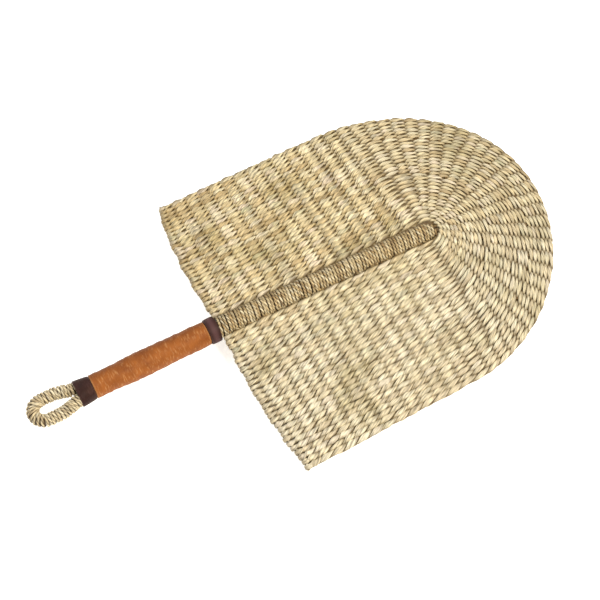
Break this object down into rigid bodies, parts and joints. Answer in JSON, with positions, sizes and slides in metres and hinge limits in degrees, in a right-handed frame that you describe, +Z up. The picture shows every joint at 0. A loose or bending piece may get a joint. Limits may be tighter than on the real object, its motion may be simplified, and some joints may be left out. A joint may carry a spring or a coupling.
{
  "type": "twined grass hand fan",
  "caption": "Hand fan with a domed U-shaped blade of twined grass rows over spokes, a wound spine, a leather-covered grip with dark bands and a wound hanging loop.",
  "frame": {"origin": "middle of the fan's length and width, at the height of the surface it lies on", "axes": "+X along the handle towards the blade's round end, +Z up, away from the surface it lies on with the domed face up, +Y across the blade"},
  "size_m": [0.4442, 0.2646, 0.0294],
  "materials": {
    "weft_straw": "dry twined grass, matt with a faint sheen",
    "stem": "dry grass stems",
    "winding_straw": "dry grass strand, a little darker than the blade",
    "tan_leather": "tan leather, lightly polished by the hand",
    "dark_leather": "dark brown leather, matt"
  },
  "bodies": {
    "root": {"weft_row_01": "weft_straw", "weft_row_02": "weft_straw", "weft_row_03": "weft_straw", "weft_row_04": "weft_straw", "weft_row_05": "weft_straw", "weft_row_06": "weft_straw", "weft_row_07": "weft_straw", "weft_row_08": "weft_straw", "weft_row_09": "weft_straw", "weft_row_10": "weft_straw", "weft_row_11": "weft_straw", "weft_row_12": "weft_straw", "weft_row_13": "weft_straw", "weft_row_14": "weft_straw", "weft_row_15": "weft_straw", "weft_row_16": "weft_straw", "weft_row_17": "weft_straw", "weft_row_18": "weft_straw", "weft_row_19": "weft_straw", "weft_row_20": "weft_straw", "weft_row_21": "weft_straw", "weft_row_22": "weft_straw", "weft_row_23": "weft_straw", "weft_row_24": "weft_straw", "weft_row_25": "weft_straw", "weft_row_26": "weft_straw", "weft_row_27": "weft_straw", "weft_row_28": "weft_straw", "weft_row_29": "weft_straw", "cross_spoke_01": "stem", "cross_spoke_02": "stem", "cross_spoke_03": "stem", "cross_spoke_04": "stem", "cross_spoke_05": "stem", "cross_spoke_06": "stem", "cross_spoke_07": "stem", "cross_spoke_08": "stem", "cross_spoke_09": "stem", "cross_spoke_10": "stem", "cross_spoke_11": "stem", "cross_spoke_12": "stem", "cross_spoke_13": "stem", "cross_spoke_14": "stem", "cross_spoke_15": "stem", "tip_spoke_01": "stem", "tip_spoke_02": "stem", "tip_spoke_03": "stem", "tip_spoke_04": "stem", "tip_spoke_05": "stem", "tip_spoke_06": "stem", "handle_core": "stem", "loop_cord": "stem", "spine_wrap": "winding_straw", "loop_wrap": "winding_straw", "grip_leather": "tan_leather", "front_band": "dark_leather", "rear_band": "dark_leather"}
  },
  "joints": []
}
